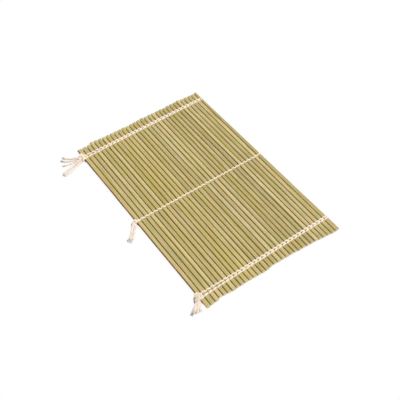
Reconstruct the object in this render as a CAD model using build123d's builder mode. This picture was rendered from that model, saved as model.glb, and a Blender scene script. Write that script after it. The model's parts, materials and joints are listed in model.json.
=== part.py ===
# Sushi rolling mat: 32 bamboo slats laced side by side by five twined cotton cords.
# X runs across the slats, from the knotted edge to the folded edge. Y runs along the slats.
# The origin is on the table, under the middle cord's strand below the origin slat.
import os
from math import pi, radians, tan

from build123d import *

os.makedirs("parts", exist_ok=True)

# Slats
slat_length = 240.0
slat_pitch = 4.8
slat_thickness = 2.0
slat_edge_radius = 0.6
slat_end_chamfer = 0.15
origin_slat = 16
# The outer sides of the first and last slats lean out, towards the back end and the front end
first_slat_lean = 1.0
last_slat_lean = 1.9
# Each slat's share of the pitch, from the knotted edge. The last one is split narrower.
pitch_shares = [
    1.09, 1.12, 0.98, 1.00, 0.97, 0.99, 1.03, 0.98,
    0.98, 1.00, 1.02, 1.00, 1.00, 0.95, 0.98, 1.06,
    1.00, 1.01, 0.97, 1.03, 1.02, 0.92, 0.95, 1.07,
    0.95, 1.00, 1.02, 0.94, 1.02, 0.96, 0.98, 0.71,
]
# How far each slat's two ends stand out of line, in shares of the end unevenness.
end_unevenness = 1.0
back_end_shares = [
    0.0, 0.0, 0.3, 2.2, 1.7, 1.1, 0.7, 0.7,
    0.4, 0.5, 0.1, 0.3, -0.3, -0.1, 0.2, 0.4,
    0.9, 0.1, 0.4, 0.2, -0.1, 0.1, -0.5, 0.1,
    0.2, 0.0, 0.7, -0.5, -0.8, -1.0, -1.3, -0.7,
]
front_end_shares = [
    0.7, -0.1, -0.3, -1.9, -1.5, -1.1, -0.6, -1.1,
    -1.0, -1.2, -1.0, -0.9, -0.7, -0.4, -0.5, -1.6,
    -1.8, -1.4, -1.6, -1.3, -1.4, -1.1, -0.4, -0.6,
    -0.1, 0.1, 0.2, 1.0, 1.4, 1.8, 2.5, 2.5,
]

# Cords: each is one yarn folded round the last slat, its two legs twined between the slats
cord_diameter = 0.9
cord_clearance = 0.05
cord_flat_share = 0.1
twist_offset = 0.5
# Rows of cord, in shares of the slat's length from the middle row, and the front rows' slant
back_row_share = 0.4433
front_row_share = 0.4425
front_slant_share = 0.015
pair_spacing = 2.3
back_knot_spacing = 3.4
front_knot_spacing = 4.3
back_flare_length = 45.0
front_flare_length = 65.0
knot_entry_gap = 0.2
knot_entry_depth = 2.2

# Knots: rounded lumps against the first slat's side, placed from that side and from their row
knot_clearance = 0.3
knot_rounding_share = 0.7
back_knot_radius = 2.5
back_knot_length = 7.2
back_knot_place = (-1.6, 0.7)
middle_knot_radius = 2.0
middle_knot_length = 5.6
middle_knot_place = (-1.2, 0.3)
front_knot_radius = 3.4
front_knot_length = 9.0
front_knot_place = (-1.6, -0.8)

# Loose yarn ends beyond the knots, as points from the first slat's side, their row and the table
tail_diameter = 1.3
back_tail_routes = [
    [(-2.5, 2.9, 1.8), (-6.6, 4.9, 1.2), (-11.3, 9.1, 0.75), (-16.3, 15.8, 0.7)],
    [(-2.5, 1.5, 2.6), (-7.6, 3.1, 1.3), (-13.6, 7.1, 0.75), (-20.1, 13.2, 0.7)],
    [(-2.5, 0.2, 1.4), (-8.6, -0.2, 1.1), (-15.6, 0.5, 0.75), (-22.9, 4.4, 0.7)],
]
back_loop_route = [
    (-2.5, -0.9, 2.8), (-8.7, -2.0, 1.5), (-15.5, -3.5, 0.75), (-21.7, -5.5, 0.7),
    (-27.0, -6.7, 0.75), (-26.8, -9.5, 0.7),
    (-22.5, -8.5, 0.75), (-16.5, -6.3, 0.7), (-9.5, -4.3, 0.9), (-2.5, -2.1, 1.6),
]
middle_tail_routes = [
    [(-2.0, -1.3, 2.3), (-5.6, -3.6, 1.4), (-9.8, -7.4, 0.75), (-13.0, -11.5, 0.7), (-18.6, -14.5, 0.75)],
    [(-1.7, -2.2, 1.2), (-4.9, -5.2, 1.1), (-8.6, -9.3, 0.75), (-12.4, -14.1, 0.7), (-17.4, -17.3, 0.75)],
]
front_tail_routes = [
    [(-4.0, -2.2, 2.2), (-7.0, -5.0, 1.3), (-10.8, -7.8, 0.75), (-15.0, -11.4, 0.7)],
    [(-3.2, -3.4, 1.5), (-5.6, -6.4, 1.1), (-8.8, -9.4, 0.75), (-11.9, -12.8, 0.7)],
    [(-2.0, -3.7, 2.8), (-3.9, -7.0, 1.5), (-6.0, -9.8, 0.75), (-8.4, -13.4, 0.7)],
    [(-0.9, -4.1, 1.4), (-2.2, -7.4, 1.1), (-3.3, -10.0, 0.75), (-4.9, -12.7, 0.7)],
]

# Places that follow from the sizes above
slat_count = len(pitch_shares)
slat_gap = cord_diameter + 2 * cord_clearance
cord_flat = cord_flat_share * cord_diameter
strand_reach = cord_clearance + cord_diameter / 2
bottom_strand_z = cord_diameter / 2 - cord_flat
slat_bottom_z = bottom_strand_z + strand_reach
slat_top_z = slat_bottom_z + slat_thickness
top_strand_z = slat_top_z + strand_reach
slat_middle_z = slat_bottom_z + slat_thickness / 2
wrap_radius = slat_edge_radius + strand_reach


def slat_width(number):
    return pitch_shares[number - 1] * slat_pitch - slat_gap


def slat_start(number):
    """X of the slat's side nearest the knots, with the origin slat's middle at zero."""
    before_origin = sum(pitch_shares[: origin_slat - 1]) * slat_pitch + slat_width(origin_slat) / 2
    return sum(pitch_shares[: number - 1]) * slat_pitch - before_origin


def gap_middle(number):
    """X of the middle of the gap between this slat and the next."""
    return slat_start(number) + slat_width(number) + slat_gap / 2


def first_side(y):
    """X of the first slat's outer side at this Y."""
    return slat_start(1) - first_slat_lean * (slat_length / 2 + y) / slat_length


def last_side(y):
    """X of the last slat's outer side at this Y."""
    straight = slat_start(slat_count) + slat_width(slat_count)
    return straight + last_slat_lean * (slat_length / 2 - y) / slat_length


def make_slat(number):
    """A rounded oblong, carried straight from one end's section to the other's, with both ends chamfered."""
    back = slat_length / 2 + back_end_shares[number - 1] * end_unevenness
    front = -slat_length / 2 - front_end_shares[number - 1] * end_unevenness
    bevel = slat_end_chamfer
    sections = [(back, bevel), (back - bevel, 0), (front + bevel, 0), (front, bevel)]
    with BuildPart() as slat:
        for y, inset in sections:
            left = first_side(y) if number == 1 else slat_start(number)
            right = last_side(y) if number == slat_count else slat_start(number) + slat_width(number)
            section = Plane.XZ.offset(-y).shift_origin(((left + right) / 2, y, slat_middle_z))
            with BuildSketch(section):
                RectangleRounded(
                    right - left - 2 * inset,
                    slat_thickness - 2 * inset,
                    slat_edge_radius - inset,
                )
        loft(ruled=True)
    slat.part.label = f"slat_{number:02d}"
    return slat.part


def row_middle(x, row):
    """Y of a row, or of the middle of a pair of rows."""
    start, slant = row
    return start + slant * x


def row_place(x, row, side, knot_spacing, flare_length):
    """Y of one cord: a pair's two cords draw together over the flare, away from the knot."""
    along = (x - slat_start(1)) / flare_length
    flare = max(0, 1 - along) ** 2
    spacing = pair_spacing + (knot_spacing - pair_spacing) * flare
    return row_middle(x, row) + side * spacing / 2


def cord_corners(row_y, hand):
    """Corners of a whole cord: in from the knot on one leg, round the last slat, back on the other."""
    entry_rise = (cord_diameter + knot_entry_gap) / 2
    start_y = row_y(slat_start(1))
    start_x = first_side(start_y)
    slope_top_x = start_x + slat_edge_radius - wrap_radius * tan(pi / 8)
    slope_drop = top_strand_z - slat_middle_z - entry_rise
    legs = []
    for leg in (0, 1):
        up = 1 if leg == 0 else -1
        corners = [
            (start_x - knot_entry_depth, start_y, slat_middle_z + up * entry_rise),
            (slope_top_x - slope_drop, start_y, slat_middle_z + up * entry_rise),
            (slope_top_x, start_y, slat_middle_z + up * (top_strand_z - slat_middle_z)),
        ]
        for number in range(1, slat_count):
            x = gap_middle(number)
            side = 1 if (number + leg) % 2 == 0 else -1
            y = row_y(x) + hand * side * twist_offset
            over_this_slat = number % 2 == 1 - leg
            heights = [top_strand_z, bottom_strand_z] if over_this_slat else [bottom_strand_z, top_strand_z]
            corners += [(x, y, height) for height in heights]
        legs.append(corners)
    fold_y = row_y(gap_middle(slat_count))
    fold_x = last_side(fold_y) + slat_gap / 2
    first_ends_high = legs[0][-1][2] > legs[1][-1][2]
    fold_heights = [top_strand_z, bottom_strand_z] if first_ends_high else [bottom_strand_z, top_strand_z]
    fold = [(fold_x, fold_y, height) for height in fold_heights]
    return legs[0] + fold + legs[1][::-1]


def make_cord(name, row_y, hand):
    corners = cord_corners(row_y, hand)
    with BuildPart() as cord:
        with BuildLine() as route:
            FilletPolyline(corners, radius=[wrap_radius] * (len(corners) - 2))
        path = route.wires()[0]
        with BuildSketch(Plane(origin=path @ 0, z_dir=path % 0)):
            Circle(cord_diameter / 2)
        sweep(path=path)
        split(bisect_by=Plane.XY, keep=Keep.TOP)
    cord.part.label = name
    full_volume = pi * cord_diameter**2 / 4 * path.length
    print(f"{name}: length {path.length:.1f} mm, volume {cord.part.volume:.1f} of {full_volume:.1f} mm3")
    return cord.part


def make_knot(name, row, place, radius, length):
    """A rounded barrel along Y, flat on the table and cut back from the first slat."""
    y = row_middle(slat_start(1), row) + place[1]
    x = first_side(y) + place[0]
    end = Plane.XZ.offset(-y - length / 2).shift_origin((x, y + length / 2, radius - cord_flat))
    with BuildPart() as knot:
        with BuildSketch(end):
            Circle(radius)
        extrude(amount=length)
        fillet(knot.edges().filter_by(GeomType.CIRCLE), knot_rounding_share * radius)
        split(bisect_by=Plane.XY, keep=Keep.TOP)
        with BuildSketch(Plane.XY):
            with Locations((first_side(y) - knot_clearance, y)):
                Rectangle(2 * radius, 2 * length, align=(Align.MIN, Align.CENTER))
        extrude(amount=slat_top_z + knot_clearance, mode=Mode.SUBTRACT)
    knot.part.label = name
    return knot.part


def bend_radii(points):
    """The largest easy radius at each inner point: 0.45 of the shorter run, over the half turn's tangent."""
    radii = []
    for before, here, after in zip(points, points[1:], points[2:]):
        arriving = Vector(*here) - Vector(*before)
        leaving = Vector(*after) - Vector(*here)
        half_turn = radians(arriving.get_angle(leaving)) / 2
        radii.append(0.45 * min(arriving.length, leaving.length) / tan(half_turn))
    return radii


def make_tails(name, row, routes):
    """Loose yarn ends, one tube for each route."""
    row_y = row_middle(slat_start(1), row)
    side_x = first_side(row_y)
    with BuildPart() as tails:
        for route_points in routes:
            points = [(side_x + x, row_y + y, z) for x, y, z in route_points]
            radii = bend_radii(points)
            with BuildLine() as route:
                FilletPolyline(points, radius=radii)
            path = route.wires()[0]
            with BuildSketch(Plane(origin=path @ 0, z_dir=path % 0)):
                Circle(tail_diameter / 2)
            sweep(path=path)
            shown = ", ".join(f"{radius:.1f}" for radius in radii)
            print(f"{name}: length {path.length:.1f} mm, radii {shown}")
    tails.part.label = name
    return tails.part


# Slats
slats = [make_slat(number) for number in range(1, slat_count + 1)]

# Cords, from the back end of the slats to the front
back_row = (back_row_share * slat_length, 0)
middle_row = (0, 0)
front_row = (-front_row_share * slat_length, front_slant_share)
cord_rows = {
    "back_outer_cord": (back_row, 1, back_knot_spacing, back_flare_length, 1),
    "back_inner_cord": (back_row, -1, back_knot_spacing, back_flare_length, -1),
    "middle_cord": (middle_row, 0, pair_spacing, back_flare_length, 1),
    "front_inner_cord": (front_row, 1, front_knot_spacing, front_flare_length, 1),
    "front_outer_cord": (front_row, -1, front_knot_spacing, front_flare_length, -1),
}
cords = []
for cord_name, (row, side, knot_spacing, flare_length, hand) in cord_rows.items():
    cords.append(
        make_cord(
            cord_name,
            lambda x: row_place(x, row, side, knot_spacing, flare_length),
            hand,
        )
    )

# Knots
knots = [
    make_knot("back_knot", back_row, back_knot_place, back_knot_radius, back_knot_length),
    make_knot("middle_knot", middle_row, middle_knot_place, middle_knot_radius, middle_knot_length),
    make_knot("front_knot", front_row, front_knot_place, front_knot_radius, front_knot_length),
]

# Loose ends
tails = [
    make_tails("back_tail_strands", back_row, back_tail_routes),
    make_tails("back_tail_loop", back_row, [back_loop_route]),
    make_tails("middle_tail_strands", middle_row, middle_tail_routes),
    make_tails("front_tail_strands", front_row, front_tail_routes),
]

for piece in slats + cords + knots + tails:
    export_step(piece, f"parts/{piece.label}.step")
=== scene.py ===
import json
from math import pi

import bpy
import numpy as np
from mathutils import Matrix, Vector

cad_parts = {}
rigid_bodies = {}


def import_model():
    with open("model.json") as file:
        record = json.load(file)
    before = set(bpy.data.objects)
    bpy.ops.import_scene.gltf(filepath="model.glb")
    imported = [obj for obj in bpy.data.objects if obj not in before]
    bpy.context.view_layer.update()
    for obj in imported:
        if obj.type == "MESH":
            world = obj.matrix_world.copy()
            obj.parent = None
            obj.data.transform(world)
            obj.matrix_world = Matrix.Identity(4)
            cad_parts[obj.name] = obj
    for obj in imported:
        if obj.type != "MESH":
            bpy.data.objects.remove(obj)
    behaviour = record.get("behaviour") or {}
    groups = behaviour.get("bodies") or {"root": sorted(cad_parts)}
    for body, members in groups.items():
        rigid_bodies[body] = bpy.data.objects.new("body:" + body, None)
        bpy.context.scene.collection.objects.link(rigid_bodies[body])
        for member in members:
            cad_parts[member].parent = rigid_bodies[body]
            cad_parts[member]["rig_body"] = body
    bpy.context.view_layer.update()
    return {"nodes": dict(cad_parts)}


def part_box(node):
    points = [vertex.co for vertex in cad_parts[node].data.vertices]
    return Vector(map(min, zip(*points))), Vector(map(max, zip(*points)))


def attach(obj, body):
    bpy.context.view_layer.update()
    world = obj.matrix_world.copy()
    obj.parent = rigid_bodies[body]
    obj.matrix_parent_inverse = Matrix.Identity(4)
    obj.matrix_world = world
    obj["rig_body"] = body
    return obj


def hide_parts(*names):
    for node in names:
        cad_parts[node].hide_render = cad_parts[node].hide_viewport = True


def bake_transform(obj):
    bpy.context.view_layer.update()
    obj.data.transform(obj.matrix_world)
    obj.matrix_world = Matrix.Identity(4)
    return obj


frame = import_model()
MM = 0.001

# Camera: the mat is seen from its knotted front corner, about 50 degrees above the table,
# from 0.77 m away, with the picture turned 4 degrees off level.
camera = bpy.data.objects.new("camera", bpy.data.cameras.new("camera"))
camera.data.sensor_width = 36
camera.data.lens = 68.3
camera.data.clip_start = 0.05
view_right = (0.82388, -0.56504, -0.04414)
view_up = (0.45843, 0.61858, 0.63812)
view_back = (-0.33326, -0.54597, 0.76867)
camera_place = (-0.26084, -0.42709, 0.58411)
camera.matrix_world = Matrix(
    [(*row, place) for row, place in zip(zip(view_right, view_up, view_back), camera_place)]
    + [(0, 0, 0, 1)]
)
bpy.context.scene.collection.objects.link(camera)
bpy.context.scene.camera = camera

# Slats: thin splints of dried bamboo, split along the grain, planed to a low crown and cut off
# square. They differ a little in width, straightness and colour, as splints of several canes do.
slat_names = sorted(name for name in frame["nodes"] if name.startswith("slat_"))
slat_count = len(slat_names)
slat_boxes = {name: [np.array(corner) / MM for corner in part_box(name)] for name in slat_names}
chance = np.random.default_rng(41)
# Sizes of the slats, in mm, as all the sizes below
slat_length = 240.0
first_lean = 1.0
last_lean = 1.9
first_inset = 0.35
fullness = 0.13
end_bevel = 0.15
bevel_depth = 0.6 * end_bevel
side_wander = 0.10
height_wander = 0.04
width_wander = 0.04  # a share of the width
steady_reach = 110.0
squareness = 4.6
profile_points = 36
slat_stations = 54
cap_share = 0.5
edge_sharpness = 5
seed_step = 100


def first_side(y):
    """X of the first slat's outer side: it leans out evenly towards the back end."""
    low, high = slat_boxes["slat_01"]
    return low[0] + first_lean * (high[1] - y) / slat_length


def last_side(y):
    """X of the last slat's outer side: it leans out evenly towards the front end."""
    low, high = slat_boxes[slat_names[-1]]
    return high[0] - last_lean * (y - low[1]) / slat_length


def closed_tube(rings, first_pole, last_pole):
    """Faces of a closed form: quads between neighbouring rings of points, and a fan from each end
    ring to its pole."""
    count, around = rings.shape[:2]
    points = np.vstack([rings.reshape(-1, 3), [first_pole, last_pole]])
    ring, step = np.meshgrid(np.arange(count - 1) * around, np.arange(around), indexing="ij")
    following = (step + 1) % around
    corners = (ring + step, ring + around + step, ring + around + following, ring + following)
    quads = np.stack(corners, -1).reshape(-1, 4)
    step = np.arange(around)
    following = (step + 1) % around
    last = (count - 1) * around
    first_fan = np.stack([step, following, np.full(around, len(points) - 2)], -1)
    last_fan = np.stack([last + following, last + step, np.full(around, len(points) - 1)], -1)
    return points, quads, np.vstack([first_fan, last_fan])


def piece_from(name, parts, marks):
    """One object out of closed forms. Each form is its points in mm, its quads, its triangles and
    its points' values for the marks, which the finishes read."""
    mesh = bpy.data.meshes.new(name)
    offsets = np.cumsum([0] + [len(part[0]) for part in parts[:-1]])
    points = np.vstack([part[0] for part in parts]) * MM
    quads = np.vstack([part[1] + offset for part, offset in zip(parts, offsets)])
    fans = np.vstack([part[2] + offset for part, offset in zip(parts, offsets)])
    mesh.from_pydata(points, [], quads.tolist() + fans.tolist())
    mesh.polygons.foreach_set("use_smooth", np.ones(len(quads) + len(fans), bool))
    for number, mark in enumerate(marks):
        values = np.concatenate([part[3][number] for part in parts]).astype(np.float32)
        kind, field = ("FLOAT", "value") if values.ndim == 1 else ("FLOAT_VECTOR", "vector")
        mesh.attributes.new(mark, kind, "POINT").data.foreach_set(field, values.ravel())
    mesh.update()
    made = bpy.data.objects.new(name, mesh)
    bpy.context.scene.collection.objects.link(made)
    return made


def wave(along, reach, seed):
    """A slow wander along the slat: three sines of falling height, each with its own phase."""
    phases = np.random.default_rng(seed).uniform(0, 2 * pi, 3)
    lengths = np.array([170.0, 74.0, 31.0])
    heights = np.array([0.55, 0.3, 0.15])
    return reach * (heights * np.sin(2 * pi * along[:, None] / lengths + phases)).sum(1)


def slat_form(number, low, high):
    """A rounded oblong, |x/a|^n + |z/b|^n = 1, carried along Y while its width, side place and
    height wander slowly. A bevelled ring, one half as large and a centre point close each end."""
    turn = (np.arange(profile_points) + 0.5) * 2 * pi / profile_points
    across = np.sign(np.cos(turn)) * np.abs(np.cos(turn)) ** (2 / squareness)
    upward = np.sign(np.sin(turn)) * np.abs(np.sin(turn)) ** (2 / squareness)
    middle = (low + high) / 2
    half = (high - low) / 2
    front_end = [low[1], low[1], low[1] + end_bevel]
    inner = np.linspace(low[1] + 2 * end_bevel, high[1] - 2 * end_bevel, slat_stations)
    back_end = [high[1] - end_bevel, high[1], high[1]]
    along = np.concatenate([front_end, inner, back_end])
    ends = np.concatenate([[1, 1, 0], np.zeros(slat_stations), [0, 1, 1]])
    core = np.concatenate([[cap_share], np.ones(slat_stations + 4), [cap_share]])
    left = first_side(along) + first_inset if number == 1 else np.full(len(along), low[0])
    right = last_side(along) if number == slat_count else np.full(len(along), high[0])
    width = (right - left) / 2 * (1 - np.abs(wave(along, width_wander, number))) + fullness
    width = width - bevel_depth * ends
    height = half[2] - bevel_depth * ends
    steady = np.exp(-(((along - middle[1]) / steady_reach) ** 8))
    side = wave(along, side_wander, number + seed_step) * steady
    drop = np.abs(wave(along, height_wander, number + 2 * seed_step)) / 2
    rings = np.empty((len(along), profile_points, 3))
    rings[..., 0] = ((left + right) / 2 + side)[:, None] + (width * core)[:, None] * across
    rings[..., 1] = along[:, None]
    rings[..., 2] = (middle[2] - drop)[:, None] + ((height - drop) * core)[:, None] * upward
    poles = [((left[end] + right[end]) / 2, along[end], middle[2]) for end in (0, -1)]
    points, quads, fans = closed_tube(rings, *poles)
    # The sides' colour holds painted shade: the last slat's outer side is half as deep as the sides
    # in the gaps
    depth = np.where(across > 0, 0.5, 1.0) if number == slat_count else 1.0
    edge = np.append(np.tile(depth * np.abs(across) ** edge_sharpness, len(along)), [0, 0])
    facing = np.append(np.tile(across, len(along)), [0, 0])
    cut = np.append(np.repeat(ends, profile_points), [1, 1])
    return points, quads, fans, [edge, facing, cut]


class Value:
    """One output of a finish's nodes. Its sums, differences and products add the Math nodes that
    work them out."""

    def __init__(self, finish, socket):
        self.finish, self.socket = finish, socket

    def __add__(self, other):
        return self.finish.maths("ADD", self, other)

    def __radd__(self, other):
        return self.finish.maths("ADD", other, self)

    def __sub__(self, other):
        return self.finish.maths("SUBTRACT", self, other)

    def __rsub__(self, other):
        return self.finish.maths("SUBTRACT", other, self)

    def __mul__(self, other):
        return self.finish.maths("MULTIPLY", self, other)

    def __rmul__(self, other):
        return self.finish.maths("MULTIPLY", other, self)


class Finish:
    """The nodes of a material or a world, with its shader and the one method that adds a node."""

    def __init__(self, owner, shader="Principled BSDF"):
        owner.use_nodes = True
        self.owner = owner
        self.tree = owner.node_tree
        self.shader = self.tree.nodes[shader]

    def node(self, kind, settings=None, inputs=None, output=0):
        made = self.tree.nodes.new("ShaderNode" + kind)
        for setting, choice in (settings or {}).items():
            setattr(made, setting, choice)
        for socket, value in (inputs or {}).items():
            self.feed(made.inputs[socket], value)
        return Value(self, made.outputs[output])

    def feed(self, socket, value):
        if isinstance(value, Value):
            self.tree.links.new(value.socket, socket)
        else:
            socket.default_value = value

    def place(self):
        """Object coordinates, in mm."""
        return self.scaled(self.node("TexCoord", output="Object"), (1 / MM, 1 / MM, 1 / MM))

    def mark(self, name, output="Fac"):
        """One of the marks that piece_from gives to a mesh's points."""
        return self.node("Attribute", {"attribute_name": name}, output=output)

    def scaled(self, place, scales):
        return self.node("VectorMath", {"operation": "MULTIPLY"}, {0: place, 1: scales})

    def grain(self, place, scales, detail=2.0, rough=0.5):
        """Noise with that many grains to the mm along each axis."""
        inputs = {"Vector": self.scaled(place, scales), "Scale": 1.0}
        inputs.update({"Detail": detail, "Roughness": rough})
        return self.node("TexNoise", None, inputs)

    def maths(self, operation, first, second):
        return self.node("Math", {"operation": operation}, {0: first, 1: second})

    def rise(self, value, none, full):
        """From 0, where the value is at none, smoothly to 1, where it is at full."""
        inputs = {"Value": value, "From Min": none, "From Max": full}
        return self.node("MapRange", {"interpolation_type": "SMOOTHSTEP"}, inputs)

    def blend(self, share, first, second):
        """A mix of two colours. A Mix node has them at sockets 6 and 7, and their mix at 2."""
        settings = {"data_type": "RGBA", "clamp_factor": True}
        return self.node("Mix", settings, {0: share, 6: first, 7: second}, output=2)

    def relief(self, height, strength):
        inputs = {"Height": height, "Strength": strength, "Distance": 0.10 * MM}
        return self.node("Bump", None, inputs)


def paint(red, green, blue):
    """A colour as shown on a screen, 0 to 255, turned by the sRGB curve to the linear shares that
    shaders use."""
    shown = np.array([red, green, blue]) / 255
    linear = np.where(shown < 0.04045, shown / 12.92, ((shown + 0.055) / 1.055) ** 2.4)
    return (*linear.tolist(), 1.0)


def bamboo_finish(name, pale, deep):
    """Dried bamboo: long fibres, slow patches of tone, brown sides deepened by painted shade, and
    fine dark ends of the fibre bundles in the cuts."""
    bamboo = Finish(bpy.data.materials.new(name))
    place = bamboo.place()
    tone = bamboo.mark("tone")
    edge = bamboo.mark("edge")
    facing = bamboo.mark("facing")
    ruddy = bamboo.mark("ruddy")
    patches = bamboo.grain(place, (0.20, 0.030, 0.20))
    blush = bamboo.grain(place, (0.45, 0.075, 0.45), 3.0)
    fibres = bamboo.grain(place, (3.6, 0.045, 3.6), 3.0, 0.6)
    hairs = bamboo.grain(place, (9.0, 0.22, 9.0), 2.0, 0.6)
    veins = bamboo.grain(place, (5.5, 0.030, 5.5), 1.0)
    specks = bamboo.grain(place, (3.0, 0.9, 3.0), 2.0, 0.7)
    streaks = bamboo.grain(place, (1.05, 0.010, 1.05))
    share = bamboo.rise(tone + 2.4 * (patches - 0.5), -0.05, 1.05)
    colour = bamboo.blend(share, paint(*pale), paint(*deep))
    colour = bamboo.blend(bamboo.mark("warm") * 0.38, colour, paint(204, 186, 102))
    # The grain's layers: a pattern, where it has none and all of the layer, its strength and colour
    for pattern, none, full, strength, tint in (
        (streaks, 0.50, 0.34, 0.95, (188, 170, 92)),
        (streaks, 0.50, 0.66, 0.90, (214, 195, 158)),
        (blush, 0.53, 0.70, 0.60, (208, 178, 140)),
        (blush, 0.47, 0.30, 0.55, (176, 178, 120)),
        (fibres, 0.52, 0.30, 0.52, (158, 140, 84)),
        (hairs, 0.55, 0.76, 0.50, (226, 212, 168)),
        (veins, 0.60, 0.70, 0.38, (138, 108, 58)),
        (specks, 0.64, 0.74, 0.30, (170, 128, 92)),
    ):
        colour = bamboo.blend(bamboo.rise(pattern, none, full) * strength, colour, paint(*tint))
    # Painted shade: the sides take a deep olive, most where they face the gaps
    sides = bamboo.rise(edge, 0.30, 0.95)
    colour = bamboo.blend(sides * 0.90, colour, paint(208, 186, 48))
    warmed_top = bamboo.rise(facing, 0.0, -0.75) * ruddy
    colour = bamboo.blend(warmed_top * 0.42, colour, paint(206, 164, 116))
    ruddy_tone = bamboo.blend(bamboo.rise(blush, 0.48, 0.62), paint(96, 60, 8), paint(150, 88, 28))
    ruddy_side = bamboo.rise(facing, -0.42, -0.84) * ruddy
    colour = bamboo.blend(ruddy_side, colour, ruddy_tone)
    inputs = {"Vector": bamboo.scaled(place, (3.2, 0.4, 3.2)), "Scale": 1.0}
    bundles = bamboo.rise(bamboo.node("TexVoronoi", None, inputs), 0.34, 0.12)
    pith = bamboo.blend(bundles, paint(226, 210, 164), paint(172, 148, 102))
    colour = bamboo.blend(bamboo.mark("cut"), colour, pith)
    bamboo.feed(bamboo.shader.inputs["Base Color"], colour)
    bamboo.feed(bamboo.shader.inputs["Roughness"], 0.50 + 0.25 * fibres + 0.10 * sides)
    height = fibres * 0.7 + hairs * 0.3
    bamboo.feed(bamboo.shader.inputs["Normal"], bamboo.relief(height, 0.55))
    bamboo.shader.inputs["Specular IOR Level"].default_value = 0.35
    return bamboo.owner


bamboo_finishes = {
    name: bamboo_finish(name, pale, deep)
    for name, pale, deep in (
        ("bamboo_straw", (223, 208, 153), (178, 163, 106)),
        ("bamboo_green", (213, 204, 151), (172, 163, 111)),
        ("bamboo_tan", (215, 199, 152), (174, 159, 114)),
    )
}
# Tones, from pale to deep, and ruddy sides given for the slats that stand out
marked_tones = {
    1: 0.10, 4: -0.25, 7: 0.0, 8: 0.75, 9: 1.0, 14: 0.95,
    15: 0.85, 20: 0.2, 22: 1.0, 24: 0.8, 27: -0.6, 32: 1.1,
}
ruddy_sides = {1: 0.95, 7: 0.35, 19: 0.25, 27: 0.45}
# How far the other slats differ by chance
tone_spread = 0.38
warmth_spread = 0.60
ruddy_most = 0.2
# The first slat's side is cleaner between the front knot and its end
clean_end = -116.0
clean_run = 8.0
clean_share = 0.3

for name in slat_names:
    number = int(name[-2:])
    low, high = slat_boxes[name]
    form = slat_form(number, low, high)
    count = len(form[0])
    share = number / slat_count
    # Slats get a little deeper towards the mat's middle, and less yellow towards its folded edge
    usual_tone = 0.44 + 0.02 * share + 0.18 * np.sin(pi * share) + chance.normal(0, tone_spread)
    tone = marked_tones.get(number, usual_tone)
    warm = 1.3 - 1.7 * share + chance.normal(0, warmth_spread)
    ruddy = ruddy_sides.get(number, float(chance.uniform(0, ruddy_most)))
    if number == 1:
        ruddy = ruddy * np.clip((form[0][:, 1] - clean_end) / clean_run, clean_share, 1)
    form[3].extend([np.full(count, tone), np.full(count, warm), np.full(count, ruddy)])
    marks = ("edge", "facing", "cut", "tone", "warm", "ruddy")
    slat = piece_from(name + "_splint", [form], marks)
    # The cut ends' faces, the first and the last ring and the two fans, stay flat
    smooth = np.ones(len(slat.data.polygons), bool)
    smooth[:profile_points] = False
    smooth[len(form[1]) - profile_points :] = False
    slat.data.polygons.foreach_set("use_smooth", smooth)
    slot = frame["nodes"][name].data.materials[0].name.split(".")[0]
    slat.data.materials.append(bamboo_finishes[slot])
    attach(slat, frame["nodes"][name]["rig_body"])
    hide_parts(name)

# Cords: soft cotton yarn of three plies. Each cord is folded round the last slat, and its two
# legs are twined: one leg passes over a slat and the other under it, and they change places in
# every gap.
first_edge = float(first_side(-slat_length / 2))
slat_low, slat_high = slat_boxes["slat_01"][0][2], slat_boxes["slat_01"][1][2]
slat_mid = (slat_low + slat_high) / 2
slat_gap = slat_boxes["slat_02"][0][0] - slat_boxes["slat_01"][1][0]
gap_middles = {n: slat_boxes[f"slat_{n:02d}"][1][0] + slat_gap / 2 for n in range(1, slat_count)}
# A yarn's half width and half height where it lies flat on a slat and where it is in a gap
yarn_flat, yarn_rise = 0.96, 0.54
yarn_narrow, yarn_thin = 0.56, 0.42
yarn_bite = 0.02
over_slats = slat_high + yarn_rise - yarn_bite
under_slats = slat_low - yarn_rise + yarn_bite
yarn_step = 0.3
yarn_sides = 12
plies = 3
ply_depth = 0.09
ply_turns = 2
# A yarn's closed ends: how far past it the last ring and the pole are, and that ring's share
collar_reach, nose_reach, collar_share = 0.12, 0.25, 0.8
# A yarn is slim near its gap's middle and gets wider over slim_reach, up to slim_core times that
# from the middle. Beside the knot it swells by loose_swell, which falls to nothing over loose_run.
slim_core, slim_reach = 1.25, 1.5
loose_swell, loose_run = 0.35, 8
twine_offset = 0.5
twine_run = 1.9
wrap = 0.6 + slat_gap / 2
bend_reach = 1.0
pair_spacing = 2.15
# Where a cord comes out of its knot: how far its corners are before the slat's side, half the
# legs' spacing in height, the corners' radius, and a distance too far for a gap to slim the yarn
start_corners = (2.2, 0.75, 0.1)
start_spread = 0.55
start_wrap = 0.5
no_gap = 10
# Each cord: its row's Y and slant, its side in a pair, the pair's spacing at the knot and how far
# from the knot that narrows, and the hand of its twist
cord_rows = {
    "back_outer_cord": (106.39, 0.0, 1, 3.4, 45.0, 1),
    "back_inner_cord": (106.39, 0.0, -1, 3.4, 45.0, -1),
    "middle_cord": (0.0, 0.0, 0, 0.0, 45.0, 1),
    "front_inner_cord": (-106.2, 0.015, 1, 4.3, 65.0, 1),
    "front_outer_cord": (-106.2, 0.015, -1, 4.3, 65.0, -1),
}


def row_place(x, row):
    """Y of a cord: its row's start and slant, plus or minus half the pair's spacing. That is wider
    near the knot, by the square of the share of the flare's length that is still ahead."""
    start, slant, side, knot_spacing, flare_length, _ = row
    flare = np.clip(1 - (x - first_edge) / flare_length, 0, None) ** 2
    return start + slant * x + side * (pair_spacing + (knot_spacing - pair_spacing) * flare) / 2


def travelled(line):
    """The length along a line up to each of its points."""
    return np.append(0, np.cumsum(np.linalg.norm(np.diff(line, axis=0), axis=1)))


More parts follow.
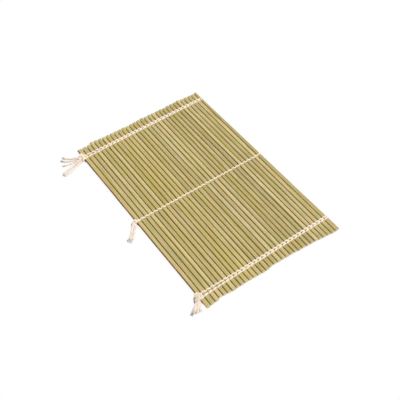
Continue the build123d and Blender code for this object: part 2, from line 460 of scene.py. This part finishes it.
def walk(corners, radius):
    """Evenly spaced points along straight runs in the XZ plane whose corners are rounded by arcs:
    start + arc centre, cosine and sine of the turn so far."""
    corners = np.array(corners, float)
    places = [corners[0]]
    for before, here, after in zip(corners, corners[1:], corners[2:]):
        arriving = (here - before) / np.linalg.norm(here - before)
        leaving = (after - here) / np.linalg.norm(after - here)
        turn = np.arccos(np.clip(arriving @ leaving, -1, 1))
        start = here - arriving * (radius * np.tan(turn / 2))
        inward = (leaving - arriving) / np.linalg.norm(leaving - arriving)
        centre = here + inward * radius / np.cos(turn / 2)
        angles = np.linspace(0, turn, max(3, int(radius * turn / yarn_step) + 2))[:, None]
        outward = start - centre
        places.extend(centre + outward * np.cos(angles) + arriving * radius * np.sin(angles))
    places = np.array(places + [corners[-1]])
    lengths = travelled(places)
    even = np.linspace(0, lengths[-1], int(lengths[-1] / yarn_step) + 2)
    return np.stack([np.interp(even, lengths, places[:, axis]) for axis in range(2)], -1)


def bearings(path, flat_to=None):
    """Unit vectors along a path, to its side and up from both. The side vector lies level, or as
    near to flat_to as it can."""
    along = np.gradient(path, axis=0)
    along /= np.linalg.norm(along, axis=1)[:, None]
    if flat_to is None:
        side = np.cross([0, 0, 1.0], along)
    else:
        side = np.cross(np.cross(along, flat_to), along)
    side /= np.linalg.norm(side, axis=1)[:, None]
    return along, side, np.cross(along, side)


def yarn(path, wide, tall, twist, flat_to=None, sides=yarn_sides, depth=ply_depth):
    """A tube round a path. The cross-section is an oval of half width `wide` and half height
    `tall`, times 1 + depth * cos(plies * (angle - twist)), so that the plies wind along it. Both
    ends shrink to a pole, and nothing dips into the table."""
    path = np.asarray(path, float)
    along, side, up = bearings(path, flat_to)
    lengths = travelled(path)
    angle = np.arange(sides) * 2 * pi / sides
    winding = twist * lengths / lengths[-1]
    ply = np.cos(plies * (angle[None, :] - winding[:, None]))
    swell = 1 + depth * ply
    wide = np.broadcast_to(wide, len(path))[:, None]
    tall = np.broadcast_to(tall, len(path))[:, None]
    rings = path[:, None, :] + side[:, None, :] * (wide * swell * np.cos(angle))[..., None]
    rings = rings + up[:, None, :] * (tall * swell * np.sin(angle))[..., None]
    collars, noses = [], []
    for end, order in ((0, -1), (-1, 1)):
        shrunk = (rings[end] - path[end]) * collar_share
        collars.append(path[end] + along[end] * order * collar_reach + shrunk)
        noses.append(path[end] + along[end] * order * nose_reach)
    rings = np.concatenate([collars[0][None], rings, collars[1][None]])
    rings[..., 2] = np.maximum(rings[..., 2], 0)
    points, quads, fans = closed_tube(rings, *noses)
    ply = np.concatenate([ply[:1], ply, ply[-1:]])
    lay = np.empty(rings.shape)
    lay[..., 0] = np.concatenate([lengths[:1], lengths, lengths[-1:]])[:, None]
    lay[..., 1] = np.cos(angle)
    lay[..., 2] = np.sin(angle)
    # The ply mark, where the finish paints shade between the plies
    ply_shade = np.append(ply.ravel(), [0, 0])
    lay = np.vstack([lay.reshape(-1, 3), [[0, 0, 0], [0, 0, 0]]])
    return points, quads[:, ::-1], fans[:, ::-1], [ply_shade, lay]


def cotton_finish(name, bright, shade):
    """Loose cotton yarn: cream with pinkish and yellowish stretches, painted shade between the
    plies, on the knots and in their hollows, and matt."""
    cotton = Finish(bpy.data.materials.new(name))
    place = cotton.place()
    ply_shade = cotton.rise(cotton.mark("ply"), 0.1, -1.0)
    loosened = cotton.mark("loosened")
    stretches = cotton.grain(place, (0.22, 0.35, 0.35))
    fluff = cotton.grain(place, (6.0, 6.0, 6.0), 3.0, 0.7)
    strands = cotton.grain(cotton.mark("lay", "Vector"), (1.3, 5.0, 5.0), 2.0, 0.6)
    colour = cotton.blend(cotton.rise(stretches, 0.38, 0.62), bright, paint(254, 238, 230))
    colour = cotton.blend(loosened * 0.80, colour, paint(240, 226, 215))
    # Painted shade between the plies, less on loosened yarn
    colour = cotton.blend(ply_shade * (0.24 - 0.14 * loosened), colour, shade)
    colour = cotton.blend(cotton.rise(strands, 0.50, 0.25) * 0.20, colour, shade)
    colour = cotton.blend(cotton.mark("tip") * 0.85, colour, paint(142, 140, 137))
    # Painted shade: the knots and the yarns in their hollows darken towards brown-grey
    colour = cotton.blend(cotton.mark("dim"), colour, paint(122, 104, 84))
    colour = cotton.blend(cotton.rise(fluff, 0.55, 0.80) * 0.30, colour, paint(255, 246, 232))
    cotton.feed(cotton.shader.inputs["Base Color"], colour)
    cotton.feed(cotton.shader.inputs["Roughness"], 0.82 + 0.12 * fluff)
    height = strands * 0.6 + fluff * 0.4
    cotton.feed(cotton.shader.inputs["Normal"], cotton.relief(height, 0.6))
    cotton.shader.inputs["Specular IOR Level"].default_value = 0.2
    cotton.shader.inputs["Sheen Weight"].default_value = 0.15
    return cotton.owner


cotton_yarn = cotton_finish("cotton_yarn", paint(253, 239, 205), paint(226, 202, 176))


def dress(piece, body, nodes=()):
    """Gives a yarn piece its finish and its body, and hides the nodes that it stands for."""
    piece.data.materials.append(cotton_yarn)
    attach(piece, body)
    if nodes:
        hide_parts(*nodes)


def leg_height(number, leg):
    """Z of a leg at a slat: one leg goes over the odd slats, the other over the even ones."""
    return over_slats if number % 2 == 1 - leg else under_slats


def laced(corners, radius, row, gap_x=0.0, side=0):
    """A leg's line: its corners in the XZ plane, rounded, and Y from the row's place plus the
    twine's offset to one side. That goes straight from zero over mid-slat to its full size at
    the gap's edges."""
    x, z = walk(corners, radius).T
    offset = side * np.clip(1 - (np.abs(x - gap_x) - slat_gap / 2) / twine_run, 0, 1)
    return np.stack([x, row_place(x, row) + row[-1] * twine_offset * offset, z], -1)


def strand(path, gap_x, hand):
    """One leg's yarn: wide and low over the slats, smoothly slimmer and rounder towards the gap at
    gap_x, and up to a third wider beside the knot."""
    near = np.clip(slim_core - np.abs(path[:, 0] - gap_x) / slim_reach, 0, 1)
    near = near * near * (3 - 2 * near)
    wide = yarn_flat + (yarn_narrow - yarn_flat) * near
    wide = wide * (1 + loose_swell * np.clip(1 - (path[:, 0] - first_edge) / loose_run, 0, 1))
    tall = yarn_rise + (yarn_thin - yarn_rise) * near
    return yarn(path, wide, tall, hand * 2 * pi * ply_turns / plies, flat_to=(0, 1.0, 0))


for cord, row in cord_rows.items():
    hand = row[-1]
    mid_slats = {n: (gap_middles[n - 1] + gap_middles[n]) / 2 for n in range(2, slat_count)}
    edge = first_side(row_place(first_edge, row))
    mid_slats[1] = (edge + gap_middles[1] - slat_gap / 2) / 2
    last_gap = gap_middles[slat_count - 1]
    outer = last_side(row_place(last_gap, row))
    last_middle = (last_gap + slat_gap / 2 + outer) / 2
    mid_slats[slat_count] = last_middle
    for gap, x in gap_middles.items():
        strands = []
        for leg in (0, 1):
            before, after = leg_height(gap, leg), leg_height(gap + 1, leg)
            arriving = [(mid_slats[gap], before), (x, before)]
            leaving = [(x, after), (mid_slats[gap + 1], after)]
            side = 1 if (gap + leg) % 2 == 0 else -1
            strands.append(strand(laced(arriving + leaving, wrap, row, x, side), x, hand))
        span = piece_from(f"{cord}_gap_{gap:02d}", strands, ("ply", "lay"))
        span.data.materials.append(cotton_yarn)
        bodies = ["knotted_edge" if gap == 1 else f"slat_{gap:02d}", f"slat_{gap + 1:02d}"]
        start, end = ((x + shift) * MM for shift in (-bend_reach, bend_reach))
        slat_mid * MM
        slat_mid * MM
        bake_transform(span)
    x = outer + slat_gap / 2
    top = [(last_middle, over_slats), (x, over_slats)]
    bottom = [(x, under_slats), (last_middle, under_slats)]
    folded = strand(laced(top + bottom, wrap, row), x, hand)
    dress(piece_from(f"{cord}_fold", [folded], ("ply", "lay")), slat_names[-1])
    strands = []
    first, second, third = (edge - before for before in start_corners)
    for leg, enter in ((0, slat_mid + start_spread), (1, slat_mid - start_spread)):
        height = leg_height(1, leg)
        corners = [(first, enter), (second, enter), (third, height), (mid_slats[1], height)]
        strands.append(strand(laced(corners, start_wrap, row), edge - no_gap, hand))
    dress(piece_from(f"{cord}_start", strands, ("ply", "lay")), "knotted_edge", [cord])

# Loose ends: the cords' yarns past the knots, a few centimetres at most, lying on the table.
# They are unwound and fluffed: the plies part towards the tip and end in a tuft of single threads.
# Only the folded loop is over 30 mm long: the others are under 30 mm.
end_plies = 3
end_sides = 10
end_depth = 0.06
end_lift = 0.8
end_spread = 1.1
# How often the plies wind round a frayed end, how much less towards its tip, and their own turns
end_windings, end_slowing, end_turns = 1.2, 0.45, 1.5
loop_windings, loop_turns = 2, 3
tuft_threads = 7
thread_radius = 0.12
thread_sides = 6
thread_inset = 0.25
# Shares of an end's length where its plies part, where they get slim, and by how much, and where
# the tuft starts, and of a thread's length where its grey tip starts
part_start = 0.45
slim_start, slim_fall = 0.75, 0.65
tuft_start = 0.5
thread_grey_start = 0.7
# What chance changes: a ply's and a thread's angle, and a thread's reach and length
ply_swing = 0.3
thread_swing = 0.8
thread_reaches = (0.6, 1.5)
thread_lengths = (0.6, 1.0)
# For each: its row's Y, a ply's radius, the plies' distance from the route, and its yarns: how
# grey the tip is, the share of the length where that starts, and the route. Its points are
# measured from the first slat's side at the knot, from the row's Y and from the table.
loose_ends = {
    "back_tail_strands": (106.39, 0.60, 0.38, [
        (0.5, 0.85, [
            (-1.9, 4.4, 1.9), (-8.4, 6.9, 1.2), (-13.2, 10.2, 0.75), (-16.9, 13.8, 0.7),
            (-17.3, 16.3, 0.7),
        ]),
        (0.8, 0.85, [
            (-2.5, 3.2, 2.6), (-8.0, 3.9, 1.4), (-15.0, 6.9, 0.75), (-19.4, 10.1, 0.7),
            (-20.9, 12.8, 0.7),
        ]),
        (0.3, 0.85, [(-3.0, 1.4, 1.4), (-10.8, 1.9, 1.1), (-17.8, 3.1, 0.75), (-23.2, 4.5, 0.7)]),
    ]),
    "back_tail_loop": (106.39, 0.80, 0.52, [
        (0.8, 0.95, [
            (-3.0, 0.0, 2.8), (-8.9, -1.1, 1.5), (-15.5, -2.6, 0.8), (-21.7, -4.2, 0.75),
            (-27.4, -5.6, 0.75), (-27.2, -8.9, 0.75), (-22.5, -8.7, 0.75), (-16.5, -6.9, 0.75),
            (-9.8, -4.0, 0.9), (-3.0, -1.7, 1.6),
        ]),
    ]),
    "middle_tail_strands": (0.0, 0.80, 0.55, [
        (1.0, 0.80, [
            (-2.2, 1.0, 2.3), (-5.7, -2.4, 1.4), (-9.5, -7.0, 0.85), (-12.9, -11.5, 0.8),
            (-18.6, -14.5, 0.75),
        ]),
        (0.6, 0.85, [
            (-1.2, -0.7, 1.3), (-4.1, -4.1, 1.1), (-7.8, -9.0, 0.85), (-11.3, -13.4, 0.8),
            (-17.2, -17.2, 0.75),
        ]),
    ]),
    "front_tail_strands": (-107.32, 0.92, 0.64, [
        (1.0, 0.50, [
            (-2.6, -1.9, 2.2), (-6.0, -5.0, 1.4), (-10.2, -7.8, 0.9), (-15.2, -11.0, 0.85),
        ]),
        (0.5, 0.70, [
            (-2.2, -2.4, 1.5), (-5.5, -6.0, 1.2), (-8.8, -8.6, 0.9), (-12.0, -11.2, 0.85),
        ]),
        (0.15, 0.85, [
            (-1.9, -3.2, 2.8), (-4.6, -6.8, 1.5), (-6.7, -9.4, 0.9), (-9.2, -12.2, 0.85),
        ]),
        (0.15, 0.85, [
            (-0.9, -3.1, 1.4), (-3.5, -6.7, 1.2), (-4.9, -9.7, 0.9), (-5.9, -12.8, 0.85),
        ]),
    ]),
}


def smooth_line(route, row_y):
    """Points of the NURBS spline that has the route's points as its control points, in mm."""
    curve = bpy.data.curves.new("route", "CURVE")
    curve.dimensions = "3D"
    spline = curve.splines.new("NURBS")
    spline.points.add(len(route) - 1)
    placed = np.array(route) + (first_side(row_y), row_y, 0)
    spline.points.foreach_set("co", np.column_stack([placed, np.ones(len(route))]).ravel())
    spline.order_u = 3
    spline.use_endpoint_u = True
    spline.resolution_u = 12
    holder = bpy.data.objects.new("route", curve)
    mesh = bpy.data.meshes.new_from_object(holder)
    points = np.array([vertex.co for vertex in mesh.vertices])
    bpy.data.objects.remove(holder)
    bpy.data.curves.remove(curve)
    bpy.data.meshes.remove(mesh)
    return points


def beside(path, distance, angle, lowest):
    """A line that winds round a path at that distance: each point steps off by the cosine of the
    angle to the path's side and by its sine upwards, and stays above the lowest height."""
    _, side, up = bearings(path)
    line = path + side * (distance * np.cos(angle))[:, None]
    line = line + up * (distance * np.sin(angle))[:, None]
    line[:, 2] = np.maximum(line[:, 2], lowest)
    return line


def greyed(form, grey, fade, tip=1.0):
    """Adds two marks to a yarn: its grey towards the tip, grey * (1 - distance from the tip /
    fade), and the loosened yarn's, which is 1 all over. Distances are shares of the yarn's length."""
    lengths = form[3][1][:, 0]
    distance = np.abs(lengths / lengths.max() - tip)
    form[3].append(grey * np.clip((fade - distance) / fade, 0, 1))
    form[3].append(np.ones(len(lengths)))
    return form


def frayed_end(path, radius, distance, seed, grey, grey_start):
    """Plies that wind round the path and slim down towards its end, where their distance from it
    grows by end_spread * (share of the length - part_start)^1.5, and single threads that fan out
    of each ply, by the share of the tuft's length to the power 1.3."""
    luck = np.random.default_rng(seed)
    lengths = travelled(path)
    share = lengths / lengths[-1]
    fan_start = np.searchsorted(share, tuft_start)
    fan = np.clip((share[fan_start:] - tuft_start) / (1 - tuft_start), 0, 1) ** 1.3
    slim = radius * (1 - slim_fall * np.clip((share - slim_start) / (1 - slim_start), 0, 1))
    loosening = distance + end_spread * np.clip(share - part_start, 0, None) ** 1.5
    parts = []
    for ply in range(end_plies):
        winding = ply / end_plies + end_windings * share * (1 - end_slowing * share)
        angle = 2 * pi * winding + luck.uniform(-ply_swing, ply_swing)
        line = beside(path, loosening, angle, slim * end_lift)
        form = yarn(line, slim, slim, 2 * pi * end_turns, sides=end_sides, depth=end_depth)
        parts.append(greyed(form, grey, 1 - grey_start))
        for thread in range(tuft_threads):
            reach = luck.uniform(*thread_reaches) * end_spread
            swing = luck.uniform(0, 2 * pi) + luck.uniform(-thread_swing, thread_swing) * fan
            line = beside(path[fan_start:], thread_inset + reach * fan, swing, thread_radius)
            line = line[: max(6, int(len(line) * luck.uniform(*thread_lengths)))]
            wisp = yarn(line, thread_radius, thread_radius, 0.0, sides=thread_sides, depth=0.0)
            parts.append(greyed(wisp, grey, 1 - thread_grey_start))
    return parts


def folded_end(path, radius, distance, grey, grey_start):
    """Plies that wind evenly round the whole path, which turns back at its middle. The fold there
    is grey, and that fades to both sides."""
    parts = []
    share = np.linspace(0, 1, len(path))
    for ply in range(end_plies):
        angle = 2 * pi * (ply / end_plies + loop_windings * share)
        line = beside(path, np.full(len(path), distance), angle, radius * end_lift)
        form = yarn(line, radius, radius, 2 * pi * loop_turns, sides=end_sides, depth=end_depth)
        parts.append(greyed(form, grey, 1 - grey_start, tip=0.5))
    return parts


for node, (row_y, radius, distance, yarns) in loose_ends.items():
    parts = []
    for number, (grey, grey_start, route) in enumerate(yarns):
        path = smooth_line(route, row_y)
        if node == "back_tail_loop":
            parts.extend(folded_end(path, radius, distance, grey, grey_start))
        else:
            seed = 10 * number + len(yarns)
            parts.extend(frayed_end(path, radius, distance, seed, grey, grey_start))
    tail = piece_from(node + "_yarn", parts, ("ply", "lay", "tip", "loosened"))
    dress(tail, "knotted_edge", [node])
    if node == "back_tail_loop":
        thickness = 2 * (radius + distance) * MM

# Knots: each pair of cords is tied in one overhand knot, pulled up tight against the first slat's
# edge. A knot is a bundle of yarns that follows the overhand loop, plumped out where it is tight.
knot_points = 110
loop_start, loop_end = 0.15 * pi, 2.15 * pi
bundle_winding = 2.2 * pi
knot_depth = 0.07
knot_turns = 5
slack_turns = 1
# A yarn's share of its bundle's radius, by the number of yarns, and how far in from the bundle's
# outside and how low over the table it may lie, as shares of its own radius
yarn_shares = {2: 0.72, 4: 0.62}
yarn_inset = 0.75
knot_lift = 0.9
# Where a knot starts to climb the slat's edge, how far it goes on climbing, and how far below the
# slat's top that ends
climb_start, climb_run, climb_rest = -1.4, 1.6, 0.2
# How much lower a knot is at its outer side and, as a share of the climb, over the slat, and the
# least that its loop rises, as a share of the bundle's radius
outer_fall, slat_fall, least_rise = 0.35, 0.8, 0.32
# Each knot: its row's Y, how much painted shade darkens it, its place from the slat's side and the
# row, its half sizes, its bundle's radius, its number of yarns, its height, and how far it is
# turned
knots = {
    "back_knot": (106.39, 0.02, (-1.1, 1.5), (3.9, 4.9), 1.20, 4, 3.8, 0.2),
    "middle_knot": (0.0, 0.03, (-0.7, 0.9), (2.3, 2.8), 0.75, 2, 2.8, 0.5),
    "front_knot": (-107.32, 0.12, (-0.2, -0.3), (4.9, 4.9), 1.40, 4, 3.95, 0.9),
}
# Slack strands beside a knot, and a dark yarn that stands in for the shade in the hollow that they
# leave: the radius, how much painted shade darkens it, and its points, measured as above
slack_and_shadow_strands = {
    "middle_knot": [(0.50, 0.85, [(-1.9, 2.6, 1.4), (-3.9, 1.9, 0.8), (-5.3, 0.6, 0.6)])],
    "front_knot": [
        (0.85, 0.30, [(1.0, 1.9, 3.0), (-1.3, 2.3, 2.7), (-3.1, 1.9, 2.2), (-4.2, 1.0, 1.6)]),
        (0.95, 0.95, [(-1.9, 1.9, 2.3), (-3.8, 0.5, 2.1), (-5.0, -1.5, 1.7), (-5.3, -3.6, 1.2)]),
    ],
}


def shaded_yarn(line, radius, turns, dim):
    """A knot's yarn along a line, with the mark of its painted shade, the same all over."""
    form = yarn(line, radius, radius, 2 * pi * turns, depth=knot_depth)
    form[3].append(np.full(len(form[0]), dim))
    return form


def knot_forms(row_y, dim, place, half_size, bundle, yarns, height, turn):
    """The overhand loop, (sin t + 2 sin 2t, cos t - 2 cos 2t, -sin 3t), scaled to the knot and
    laid over the slat's edge, which it climbs smoothly. Its yarns wind round that line."""
    t = np.linspace(loop_start, loop_end, knot_points)
    x = np.sin(t) + 2 * np.sin(2 * t)
    y = np.cos(t) - 2 * np.cos(2 * t)
    x, y = x * np.cos(turn) - y * np.sin(turn), x * np.sin(turn) + y * np.cos(turn)
    x = place[0] + x / 3 * (half_size[0] - bundle)
    y = place[1] + y / 3 * (half_size[1] - bundle)
    climb = np.clip((x - climb_start) / climb_run, 0, 1)
    shelf = (slat_high - climb_rest) * climb * climb * (3 - 2 * climb)
    outward = np.clip(-x / half_size[0], 0, 1)
    room = height * (1 - outer_fall * outward**2) - shelf * slat_fall
    rise = np.maximum(room - bundle, bundle * least_rise)
    z = shelf + bundle + (1 - np.sin(3 * t)) / 2 * rise
    path = np.stack([first_side(row_y) + x, row_y + y, z], -1)
    radius = bundle * yarn_shares[yarns]
    distance = np.full(len(path), bundle - radius * yarn_inset)
    forms = []
    for number in range(yarns):
        angle = 2 * pi * number / yarns + np.linspace(0, bundle_winding, len(path))
        line = beside(path, distance, angle, radius * knot_lift)
        forms.append(shaded_yarn(line, radius, knot_turns, dim))
    return forms


for name, values in knots.items():
    forms = knot_forms(*values)
    for radius, dim, route in slack_and_shadow_strands.get(name, ()):
        forms.append(shaded_yarn(smooth_line(route, values[0]), radius, slack_turns, dim))
    knot = piece_from(name + "_yarn", forms, ("ply", "lay", "dim"))
    dress(knot, "knotted_edge", [name])

# Table and light: a plain white table that keeps the mat's soft shadow and, under the mat, takes
# a painted olive shade that shows in its gaps, an even sky, and one broad lamp.
table_half = 3.0
table_drop = 0.00002
corners = np.array([(-1, -1, 0), (1, -1, 0), (1, 1, 0), (-1, 1, 0)]) * table_half
table_mesh = bpy.data.meshes.new("table")
table_mesh.from_pydata(corners - [0, 0, table_drop], [], [(0, 1, 2, 3)])
table = bpy.data.objects.new("table", table_mesh)
bpy.context.scene.collection.objects.link(table)
table_top = Finish(bpy.data.materials.new("table_top"))
table_mesh.materials.append(table_top.owner)
camera_ray, glossy_ray, through_ray = (
    table_top.node("LightPath", output=f"Is {kind} Ray")
    for kind in ("Camera", "Glossy", "Transmission")
)
open_sky = table_top.node("AmbientOcclusion", {"samples": 40}, {"Distance": 3 * MM}, output="AO")
place = table_top.place()
x, y = (table_top.node("SeparateXYZ", None, {0: place}, axis) for axis in ("X", "Y"))
mat_edge = float(first_side(0.0))
inside = table_top.rise(x + y * (first_lean / slat_length), mat_edge - 0.2, mat_edge + 0.3)
# Painted shade: under the mat the table turns olive-brown and its white glow fades
shade_under_mat = table_top.rise(open_sky, 0.52, 0.28) * inside
seen = (camera_ray + glossy_ray + through_ray) * 0.93 * (1 - shade_under_mat)
table_colour = table_top.blend(shade_under_mat, (0.97, 0.97, 0.97, 1), paint(144, 118, 38))
table_top.feed(table_top.shader.inputs["Base Color"], table_colour)
table_top.shader.inputs["Roughness"].default_value = 0.9
table_top.shader.inputs["Specular IOR Level"].default_value = 0.0
lit = Value(table_top, table_top.shader.outputs[0])
white = table_top.node("Emission", None, {"Color": (1, 1, 1, 1), "Strength": 1.0})
shown = table_top.node("MixShader", None, {0: seen, 1: lit, 2: white})
table_top.feed(table_top.tree.nodes["Material Output"].inputs["Surface"], shown)

sky = Finish(bpy.data.worlds.new("sky"), "Background")
bpy.context.scene.world = sky.owner
camera_ray, through_ray = (
    sky.node("LightPath", output=f"Is {kind} Ray") for kind in ("Camera", "Transmission")
)
sky_seen = sky.maths("MAXIMUM", camera_ray, through_ray)
sky_level = sky.node("MapRange", None, {"Value": sky_seen, "To Min": 0.55, "To Max": 1.0})
sky.shader.inputs["Color"].default_value = (1, 1, 1, 1)
sky.feed(sky.shader.inputs["Strength"], sky_level)

lamp = bpy.data.objects.new("lamp", bpy.data.lights.new("lamp", "SUN"))
lamp.data.energy = 1.9
lamp.data.angle = 0.35
lamp.rotation_euler = (0.25, 0.50, 0.0)
bpy.context.scene.collection.objects.link(lamp)

bpy.context.scene.view_settings.view_transform = "Standard"
